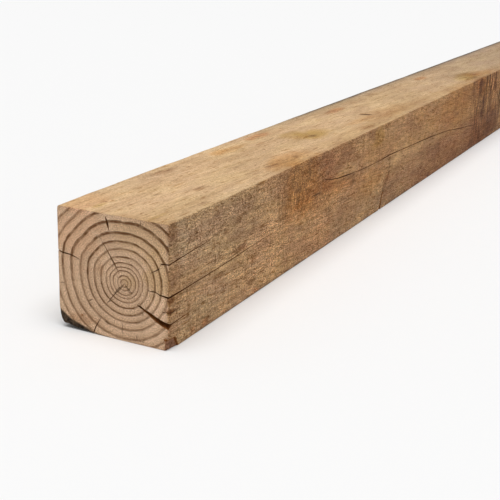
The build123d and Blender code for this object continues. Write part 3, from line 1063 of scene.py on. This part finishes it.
# The walls of the checks, the split's notch and the chip's rim are painted dark brown, darkest at the root:
# painted shade inside them, with some dirt
check_wall_dark = (0.20, 0.068, 0.014)
check_wall_light = (0.32, 0.122, 0.036)
check_root_shade = (0.075, 0.022, 0.003)
bark_plate_height = 0.0022
bark_grit_height = 0.0008

overlay, tree, ins, outs = shader_group(
    "checks_and_bark", {"Color": "Color"}, {"Color": "Color", "Height": "Float"}
)
section, place = tree.use(grain_space).values()
speck = tree.noise(place, 0.35, 3, 0.6)
splinter = tree.spread(tree.calc("MULTIPLY_ADD", speck, 0.3, tree.carried("torn")), 0.35, 0.85)
splinter_colour = tree.blend(tree.spread(speck, 0.35, 0.65), splinter_dark, splinter_light)
colour = tree.blend(splinter, ins["Color"], splinter_colour)

# Painted shade darkens the lower front arris, next to the floor
lower_arris_shade = tree.times(tree.carried("lower_arris_shade"), tree.spread(tree.noise(place, 0.06, 3), 0.35, 0.6))
colour = tree.blend(tree.times(lower_arris_shade, 0.75), colour, lower_arris_shade_black)
knot_heart = tree.spread(tree.calc("MULTIPLY_ADD", speck, 0.4, tree.carried("knot")), 0.55, 1.25)
colour = tree.blend(tree.times(knot_heart, 0.55), colour, knot_brown)

curl = tree.noise(place, 0.125, 3, 0.6, 1.8, across=0.34)
torn_across_here = tree.carried("torn_across")
torn_up = tree.times(tree.spread(curl, 0.48, 0.58), torn_across_here)
strands = tree.times(tree.spread(curl, 0.44, 0.36), torn_across_here)
colour = tree.tint(colour, tree.times(strands, 0.7), strand_tint)
torn_out = tree.spread(tree.noise(section, 0.33, 2, 0.6, along=0.16), 0.45, 0.55)
torn_out = tree.calc("MAXIMUM", torn_up, tree.times(torn_out, tree.carried("torn_along")))
colour = tree.blend(tree.times(torn_out, 0.66), colour, torn_brown)

bark_edge = tree.calc("MULTIPLY_ADD", speck, 0.6, tree.carried("bark"))
# Inner bark edges the bark in brown; where the bark fades out towards the middle of the bottom, this brown
# is painted shade
colour = tree.blend(tree.spread(bark_edge, 0.32, 0.62, 0.0, 0.75), colour, bast_and_shade_brown)
bark_cover = tree.spread(bark_edge, 0.60, 1.0)
rind = tree.noise(place, 0.17, 3, 0.7, 0.7, along=0.2)
bark_colour = tree.blend(tree.spread(rind, 0.40, 0.60), bark_black, bark_brown)
bark_colour = tree.blend(tree.spread(speck, 0.52, 0.66), bark_colour, bark_dust)
colour = tree.blend(bark_cover, colour, bark_colour)

# The checks are painted dark brown, darkest at the root: painted shade inside them
check = tree.carried("check")
wall_colour = tree.blend(tree.spread(speck, 0.4, 0.6), check_wall_dark, check_wall_light)
wall_colour = tree.blend(tree.spread(check, 0.7, 1.0), wall_colour, check_root_shade)
tree.feed(outs["Color"], tree.blend(tree.spread(check, 0.0, 0.5), colour, wall_colour))
grit = tree.times(speck, bark_grit_height)
plates = tree.calc("MULTIPLY_ADD", tree.spread(rind, 0.38, 0.62), bark_plate_height, grit)
tree.feed(outs["Height"], tree.times(bark_cover, plates))

# A place pushed about by noise, by under a millimetre, so that lines drawn there waver
waver_reach = 0.8

wavering, tree, ins, outs = shader_group("wavering", {"Place": "Vector"}, {"Bent": "Vector"})
wobble = tree.add("TexNoise", ins["Place"])
tree.feed(wobble.inputs["Scale"], 0.3)
tree.feed(wobble.inputs["Detail"], 3)
push = tree.vector("MULTIPLY_ADD", wobble.outputs["Color"], (2 * waver_reach,) * 3, (-waver_reach,) * 3)
tree.feed(outs["Bent"], tree.vector("ADD", ins["Place"], push))

# A hair check is too fine to open: a thin dark line from one place to another, widest in its middle.
# Drawn broad on the front face, the same line paints shadow round the short split
hair_check_and_shade_line, tree, ins, outs = shader_group(
    "hair_check_and_shade_line", {"Place": "Vector", "From": "Vector", "To": "Vector", "Width": "Float"}, {"Line": "Float"}
)
reach = tree.vector("SUBTRACT", ins["Place"], ins["From"])
run = tree.vector("SUBTRACT", ins["To"], ins["From"])
along, whole = tree.measure("DOT_PRODUCT", reach, run), tree.measure("DOT_PRODUCT", run, run)
part = tree.add("Math", along, whole, operation="DIVIDE", use_clamp=True).outputs[0]
apart = tree.measure("DISTANCE", reach, tree.vector("SCALE", run, None, None, part))
taper = tree.calc("MULTIPLY_ADD", tree.calc("SINE", tree.times(part, math.pi)), 0.75, 0.12)
half = tree.times(ins["Width"], taper)
tree.feed(outs["Line"], tree.spread(tree.calc("DIVIDE", apart, half), 1.0, 0.4))

wood_specular = 0.15


def bare_wood(name, tones, clouds_from, clouds_to):
    """A new material of the mesh, whose colour goes from one tone to another in clouds and is stained.
    Gives its tree, its surface, the fibres, the rings, the grain's section, the place and the colour."""
    material = bpy.data.materials.new(name)
    material.use_nodes = True
    mesh.materials.append(material)
    surface = material.node_tree.nodes["Principled BSDF"]
    surface.inputs["Specular IOR Level"].default_value = wood_specular
    tree = NodeTree(material.node_tree)
    wood, rings = tree.use(fibres), tree.use(growth_rings)
    section, place = tree.use(grain_space).values()
    colour = tree.blend(tree.spread(wood["Clouds"], clouds_from, clouds_to), *tones)
    colour = tree.tint(colour, 1.0, tree.carried("stain", "Color"))
    return tree, surface, wood, rings, section, place, colour


def draw_hair_checks_and_shade(tree, colour, place, lines, paint):
    """Hair checks and strokes of painted shadow drawn over a colour. Each line gives its two ends,
    its width and its strength.
    """
    bent = tree.use(wavering, Place=place)["Bent"]
    for start, stop, width, strength in lines:
        hair = tree.use(hair_check_and_shade_line, Place=bent, From=start, To=stop, Width=width)["Line"]
        colour = tree.blend(tree.times(hair, strength), colour, paint)
    return colour


def finish(tree, surface, wood, colour, roughness, relief, bump_strength):
    """Lays the checks, bark and painted shade over the wood, and feeds its colour, roughness and relief."""
    covered = tree.use(overlay, Color=colour)
    bump = tree.add("Bump")
    tree.feed(bump.inputs["Strength"], bump_strength)
    tree.feed(bump.inputs["Distance"], 1.0)
    tree.feed(bump.inputs["Height"], tree.calc("ADD", relief, covered["Height"]))
    tree.feed(surface.inputs["Base Color"], covered["Color"])
    tree.feed(surface.inputs["Roughness"], tree.spread(wood["Clouds"], 0.3, 0.7, *roughness))
    tree.feed(surface.inputs["Normal"], bump.outputs[0])


# The crosscut ends: rings, pores and rays, and the furry grain that the saw leaves on end wood
end_tones = (0.57, 0.382, 0.24), (0.675, 0.464, 0.297)
late_wood_tint = (0.84, 0.78, 0.72)
early_wood_tint = (1.10, 1.10, 1.12)
year_line_tint = (0.30, 0.22, 0.16)
end_fur_tints = (0.37, 0.315, 0.27), (1.70, 1.745, 1.80)
pore_tint = (0.34, 0.25, 0.18)
ray_tint = (0.70, 0.60, 0.50)
end_hair_brown = (0.07, 0.028, 0.008)
end_hair_breadth = 1.35
end_hair_strength = 0.75
year_line_depth = 0.00025
end_fur_height = 0.0004
end_roughness = (0.72, 0.88)
end_bump = 0.7

tree, surface, wood, rings, section, place, colour = bare_wood("crosscut", end_tones, 0.35, 0.65)
colour = tree.tint(colour, tree.times(rings["Late Wood"], 0.85), late_wood_tint)
colour = tree.tint(colour, tree.times(rings["Early Wood"], 0.7), early_wood_tint)
broken = tree.spread(tree.noise(place, 0.11, 3, 0.6), 0.32, 0.62, 0.55, 1.08)
line = tree.times(tree.times(rings["Line"], tree.carried("year_line")), broken)
colour = tree.tint(colour, line, year_line_tint)
fur = tree.spread(wood["Speckle"], 0.30, 0.70)
colour = tree.tint(colour, 1.0, tree.blend(fur, *end_fur_tints))

pores = tree.add("TexVoronoi", section)
tree.feed(pores.inputs["Scale"], 1.1)
crowding = tree.calc("MULTIPLY_ADD", tree.calc("MAXIMUM", rings["Line"], rings["Early Wood"]), 0.7, 0.12)
pore = tree.times(tree.spread(pores.outputs["Distance"], 0.36, 0.18), crowding)
colour = tree.tint(colour, pore, pore_tint)

# Rays are noise that changes fast with the direction from the pith, and slowly with the distance
ray_by_turn = 40.0
ray_by_distance = 0.04
on_end = tree.vector("MULTIPLY", place, (0, 1, 1))
from_pith = tree.vector("ADD", on_end, (0, pith_across, -pith_up))
round_pith = tree.vector("MULTIPLY", tree.vector("NORMALIZE", from_pith), (ray_by_turn,) * 3)
outwards = tree.vector("MULTIPLY", from_pith, (ray_by_distance,) * 3)
ray = tree.spread(tree.noise(tree.vector("ADD", round_pith, outwards), 1.0, 2, 0.6), 0.5, 0.75)
ray = tree.times(ray, tree.spread(tree.measure("LENGTH", from_pith), 8.0, 30.0))
colour = tree.tint(colour, tree.times(ray, 0.30), ray_tint)

# Hair checks on the near end, which the far end repeats: the two ends of each, as places in the
# section, and its width
end_hair_checks = [
    ((-27.2, 43.9), (-33.7, 39.4), 0.9),
    ((-33.7, 39.4), (-29.4, 32.8), 0.9),
    ((38.3, 148.9), (38.3, 140.6), 0.8),
    ((-74, 56), (-65, 57), 0.7),
    ((13.3, 25), (13.3, 4.5), 0.6),
    ((33, 13), (33, 5), 0.6),
    ((-1.1, 16.7), (-12.2, 18.9), 1.1),
    ((3.5, 50), (-7.2, 43.3), 0.7),
    ((40, 41), (41.5, 36), 0.8),
    ((50, 68.5), (58, 68.4), 0.6),
    ((37, 47), (41, 44), 1.1),
    ((17, 71), (2.5, 54.5), 1.1),
    ((16, 71), (27, 60), 1.1),
    ((3, 55), (-8, 41.5), 0.7),
    ((-10, 112), (9, 82), 0.9),
]
hair_lines = [
    ((0, -start[0], start[1]), (0, -stop[0], stop[1]), end_hair_breadth * width, end_hair_strength)
    for start, stop, width in end_hair_checks
]
colour = draw_hair_checks_and_shade(tree, colour, on_end, hair_lines, end_hair_brown)
relief = tree.calc("MULTIPLY_ADD", line, -year_line_depth, tree.times(fur, end_fur_height))
finish(tree, surface, wood, colour, end_roughness, relief, end_bump)

# The sawn faces: fibres, vessels and specks along the grain, the marks of the saw across it, and a
# furry nap. The top is planed, and most of these are weaker there
face_tones = (0.60, 0.41, 0.227), (0.70, 0.49, 0.287)
streak_tint = (0.86, 0.80, 0.72)
ring_tint = (0.66, 0.58, 0.48)
dark_fleck_tint = (0.72, 0.62, 0.50)
light_fleck_tint = (1.10, 1.09, 1.08)
face_fur_tints = (0.46, 0.40, 0.33), (1.57, 1.63, 1.69)
vessel_tint = (0.52, 0.40, 0.29)
mark_tint = (0.66, 0.58, 0.50)
flake_tint = (0.54, 0.42, 0.30)
speck_tint = (0.42, 0.30, 0.20)
coarse_tint = (0.56, 0.45, 0.37)
cut_tint = (0.33, 0.24, 0.17)
shine_tint = (1.75, 1.75, 1.66)
mottle_tints = (0.90, 0.83, 0.82), (1.09, 1.08, 0.99)
face_hair_and_shade_brown = (0.08, 0.034, 0.011)
face_fur_height = 0.0009
mark_depth = 0.0005
thread_depth = 0.0002
face_roughness = (0.68, 0.85)
face_bump = 0.8

tree, surface, wood, rings, section, place, colour = bare_wood("sawn_face", face_tones, 0.36, 0.64)
planed = tree.carried("planed")
bands = tree.carried("saw_bands")


def by_face(sawn, on_top):
    """A strength that the rough sawn faces have, and another that the planed top has."""
    return tree.calc("MULTIPLY_ADD", planed, on_top - sawn, sawn)


streak = tree.times(tree.spread(wood["Streaks"], 0.35, 0.62), by_face(0.42, 0.13))
colour = tree.tint(colour, streak, streak_tint)
colour = tree.tint(colour, tree.times(rings["Line"], 0.22), ring_tint)
thread = tree.spread(wood["Fibres"], 0.3, 0.72)
colour = tree.tint(colour, by_face(1.0, 0.55), tree.spread(thread, 0, 1, 1.15, 0.81))
colour = tree.tint(colour, tree.spread(wood["Flecks"], 0.60, 0.68), dark_fleck_tint)
colour = tree.tint(colour, tree.spread(wood["Flecks"], 0.40, 0.26), light_fleck_tint)

tufts = tree.times(tree.spread(wood["Tufts"], 0.34, 0.66), 0.2)
fur = tree.calc("MULTIPLY_ADD", tree.spread(wood["Speckle"], 0.36, 0.64), 0.8, tufts)
colour = tree.tint(colour, tree.carried("nap"), tree.blend(tree.spread(fur, 0.08, 0.92), *face_fur_tints))

vessel = tree.spread(tree.noise(section, 0.9, 2, 0.6, along=0.03), 0.56, 0.66)
vessel = tree.times(vessel, tree.spread(wood["Streaks"], 0.36, 0.6, 0.35, 0.85))
colour = tree.tint(colour, tree.times(vessel, by_face(1.0, 0.65)), vessel_tint)

marks = tree.spread(tree.noise(place, 0.15, 3, 0.75, 0.5, across=0.18), 0.42, 0.66)
mark_patch = tree.spread(tree.noise(place, 0.016, 2, 0.5), 0.40, 0.60, 0.25, 1.0)
mark_share = tree.times(mark_patch, by_face(0.62, 0.05))
colour = tree.tint(colour, tree.times(marks, mark_share), mark_tint)

flakes = tree.noise(section, 0.26, 2, 0.6, along=0.3)
flakes = tree.spread(tree.calc("MULTIPLY_ADD", planed, -0.035, flakes), 0.60, 0.68)
colour = tree.tint(colour, tree.times(flakes, by_face(0.8, 0.95)), flake_tint)

specks = tree.spread(tree.noise(place, 0.45, 2, 0.6, along=0.8, across=0.4), 0.58, 0.68)
speck_patch = tree.spread(tree.noise(place, 0.03, 2, 0.5), 0.42, 0.6, 0.15, 0.9)
specks = tree.times(tree.times(specks, speck_patch), by_face(1.0, 0.5))
colour = tree.tint(colour, specks, speck_tint)

coarse = tree.spread(tree.noise(place, 0.048, 2, 0.6, 0.6, across=0.14), 0.47, 0.55)
colour = tree.tint(colour, tree.times(tree.times(coarse, bands), 0.45), coarse_tint)
strokes = tree.noise(place, 0.085, 2, 0.6, 0.6, across=0.25)
colour = tree.tint(colour, tree.times(tree.spread(strokes, 0.51, 0.57), bands), cut_tint)
colour = tree.tint(colour, tree.times(tree.spread(strokes, 0.47, 0.40), bands), shine_tint)
mottle = tree.spread(tree.noise(place, 0.028, 3, 0.6, along=0.35), 0.36, 0.64)
colour = tree.tint(colour, by_face(0.85, 0.55), tree.blend(mottle, *mottle_tints))

# Hair checks on the faces, and five broader dark strokes drawn as they are: three of painted shadow round
# the short split and on the wood above it, one torn mark and a gash on the top. The two ends of each, as
# station, distance behind the middle of the beam and height, then its width and its strength
front_side = -half_width
face_hair_checks_and_shade = [
    # The first three lines are painted shadow round the short split
    ((698, front_side, -18), (714, front_side, 42), 5.0, 1.0),
    ((712, front_side, 24), (742, front_side, 62), 9.0, 0.3),
    ((735, front_side, 46), (742, front_side, 88), 7.0, 0.2),
    ((395, front_side, 92), (436, front_side, 90.5), 1.8, 0.85),
    ((571, front_side, 87), (561, front_side, 71), 4.0, 0.5),
    ((6, front_side, 64), (8.5, front_side, 58), 1.6, 0.8),
    ((2, front_side, 42), (16, front_side, 47.5), 1.4, 0.7),
    ((421, front_side, 123), (446, front_side, 107), 1.5, 0.65),
    ((751, -9, beam_height), (768, -28, beam_height), 7.5, 0.9),
]
colour = draw_hair_checks_and_shade(tree, colour, place, face_hair_checks_and_shade, face_hair_and_shade_brown)
relief = tree.calc("ADD", tree.times(fur, face_fur_height), tree.times(marks, -mark_depth))
relief = tree.times(relief, by_face(1.0, 0.25))
relief = tree.calc("ADD", relief, tree.times(thread, -thread_depth))
finish(tree, surface, wood, colour, face_roughness, relief, face_bump)

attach(beam, "root")
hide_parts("beam")


# The camera.
# It stands before the near end and in front of the beam, at a little under half a metre, and looks
# down along it. Its lens is long, so the far end closes in slowly.

camera_before_end = 918.0
camera_before_front = 547.4
camera_height = 469.7
camera_turn = math.radians(26.05)
camera_dip = math.radians(17.97)
camera_roll = math.radians(1.87)
camera_lens = 73.64

level_forward = Vector((math.cos(camera_turn), math.sin(camera_turn), 0))
level_right = Vector((math.sin(camera_turn), -math.cos(camera_turn), 0))
upright = Vector((0, 0, 1))
forward = level_forward * math.cos(camera_dip) - upright * math.sin(camera_dip)
tipped_up = upright * math.cos(camera_dip) + level_forward * math.sin(camera_dip)
right = level_right * math.cos(camera_roll) + tipped_up * math.sin(camera_roll)
up = tipped_up * math.cos(camera_roll) - level_right * math.sin(camera_roll)

camera_data = bpy.data.cameras.new("camera")
camera_data.lens = camera_lens
camera_data.sensor_width = 36
camera_data.clip_end = 100
camera = bpy.data.objects.new("camera", camera_data)
camera_place = (low[0] - camera_before_end, low[1] - camera_before_front, camera_height)
turn = Matrix((right, up, -forward)).transposed().to_4x4()
camera.matrix_world = Matrix.Translation(Vector(camera_place) / metre) @ turn
bpy.context.scene.collection.objects.link(camera)
bpy.context.scene.camera = camera


# The studio.
# A pale floor, a broad soft light overhead that leans to the near end, and a dim white surround.

floor_mesh = bpy.data.meshes.new("floor")
floor_mesh.from_pydata([(-14, -14, 0), (14, -14, 0), (14, 14, 0), (-14, 14, 0)], [], [(0, 1, 2, 3)])
floor_paint = bpy.data.materials.new("floor_paint")
floor_paint.use_nodes = True
floor_surface = floor_paint.node_tree.nodes["Principled BSDF"]
floor_surface.inputs["Base Color"].default_value = (0.88, 0.88, 0.88, 1)
floor_surface.inputs["Roughness"].default_value = 0.9
floor_surface.inputs["Specular IOR Level"].default_value = 0.1
floor_mesh.materials.append(floor_paint)
floor = bpy.data.objects.new("floor", floor_mesh)
bpy.context.scene.collection.objects.link(floor)

key_data = bpy.data.lights.new("key", "SUN")
key_data.energy = 2.5
key_data.angle = math.radians(50)
key = bpy.data.objects.new("key", key_data)
key.rotation_euler = Vector((-0.20, -0.10, 1)).to_track_quat("Z", "Y").to_euler()
bpy.context.scene.collection.objects.link(key)

surround = bpy.data.worlds.new("surround")
surround.use_nodes = True
surround.node_tree.nodes["Background"].inputs["Color"].default_value = (1, 1, 1, 1)
surround.node_tree.nodes["Background"].inputs["Strength"].default_value = 0.32
bpy.context.scene.world = surround
bpy.context.scene.view_settings.view_transform = "Standard"
